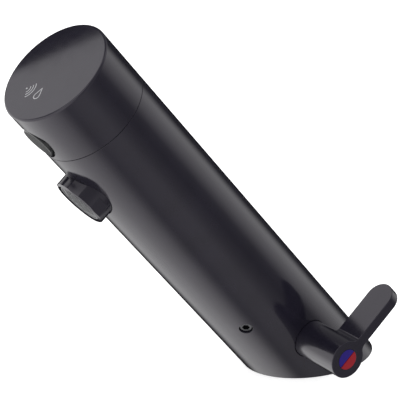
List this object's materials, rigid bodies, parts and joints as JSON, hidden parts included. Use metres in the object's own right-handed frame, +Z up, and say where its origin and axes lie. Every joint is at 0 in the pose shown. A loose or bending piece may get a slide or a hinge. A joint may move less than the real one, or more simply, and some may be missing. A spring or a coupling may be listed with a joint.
{
  "type": "sensor basin tap",
  "caption": "Leaning round sensor tap for a basin, with an outlet and sensor window on its underside and a side lever that sets the temperature.",
  "frame": {"origin": "where the body's axis meets the deck, on the underside of the valve block", "axes": "+Z up, -Y the way the body leans over the basin, +X the lever's side"},
  "size_m": [0.0755, 0.182, 0.1736],
  "materials": {
    "silk_black": "silk black coating on brass",
    "screw_steel": "blackened steel",
    "rubber": "black rubber",
    "brass": "machined brass",
    "white_plastic": "white acetal",
    "pale_grid": "pale grey moulded plastic",
    "ceramic": "lapped ceramic",
    "spring_steel": "stainless steel",
    "copper": "drawn copper tube",
    "coil_tape": "taped winding",
    "black_plastic": "black moulded plastic",
    "battery_wrap": "shrink wrap",
    "red_lead": "red insulation",
    "black_lead": "black insulation",
    "board": "green solder mask",
    "clear_eye": "clear resin",
    "dark_eye": "dark resin",
    "window": "smoked infrared window",
    "index_blue": "blue enamel",
    "index_red": "red enamel"
  },
  "bodies": {
    "tap": {"body_shell": "silk_black", "head_shell": "silk_black", "head_seal": "rubber", "head_grub_screw": "screw_steel", "body_grub_screw": "screw_steel", "base_seal": "rubber", "valve_block": "brass", "inlet_strainers": "spring_steel", "check_valve_cold": "white_plastic", "check_valve_hot": "white_plastic", "spring_cold": "spring_steel", "spring_hot": "spring_steel", "mixing_cartridge": "white_plastic", "cartridge_seals": "rubber", "fixed_disc": "ceramic", "stem_seal": "rubber", "cartridge_cap": "white_plastic", "cartridge_nut": "brass", "diaphragm": "rubber", "valve_bonnet": "black_plastic", "bonnet_screws": "screw_steel", "solenoid_coil": "coil_tape", "solenoid_yoke": "spring_steel", "plunger_spring": "spring_steel", "outlet_tube": "copper", "tube_seals": "rubber", "outlet_seat": "brass", "aerator_washer": "rubber", "aerator_sleeve": "silk_black", "aerator_cup": "pale_grid", "aerator_grid": "pale_grid", "battery_holder": "black_plastic", "battery": "battery_wrap", "battery_contacts": "spring_steel", "battery_lead": "red_lead", "solenoid_lead": "black_lead", "circuit_board": "board", "sensor_housing": "black_plastic", "infrared_emitter": "clear_eye", "infrared_receiver": "dark_eye", "window_seal": "rubber", "sensor_window": "window"},
    "lever": {"lever": "silk_black", "lever_screw": "screw_steel", "index_blue": "index_blue", "index_red": "index_red", "lever_stem": "brass", "moving_disc": "ceramic"},
    "plunger": {"plunger": "spring_steel"},
    "poppet_cold": {"poppet_cold": "white_plastic"},
    "poppet_hot": {"poppet_hot": "white_plastic"}
  },
  "joints": [
    {"name": "lever_turn", "type": "hinge", "parent": "tap", "child": "lever", "pos_m": [0, -0.01683, 0.02034], "axis": [1, 0, 0], "range_deg": [-45, 45]},
    {"name": "plunger_lift", "type": "slide", "parent": "tap", "child": "plunger", "axis": [0, -0.6374, 0.7705], "range_m": [0, 0.002], "stiffness_N_per_m": 200, "springref_m": -0.004, "deforming": ["plunger_spring"]},
    {"name": "poppet_cold_lift", "type": "slide", "parent": "tap", "child": "poppet_cold", "axis": [0, 0, 1], "range_m": [0, 0.0015], "stiffness_N_per_m": 60, "springref_m": -0.002, "deforming": ["spring_cold"]},
    {"name": "poppet_hot_lift", "type": "slide", "parent": "tap", "child": "poppet_hot", "axis": [0, 0, 1], "range_m": [0, 0.0015], "stiffness_N_per_m": 60, "springref_m": -0.002, "deforming": ["spring_hot"]}
  ]
}
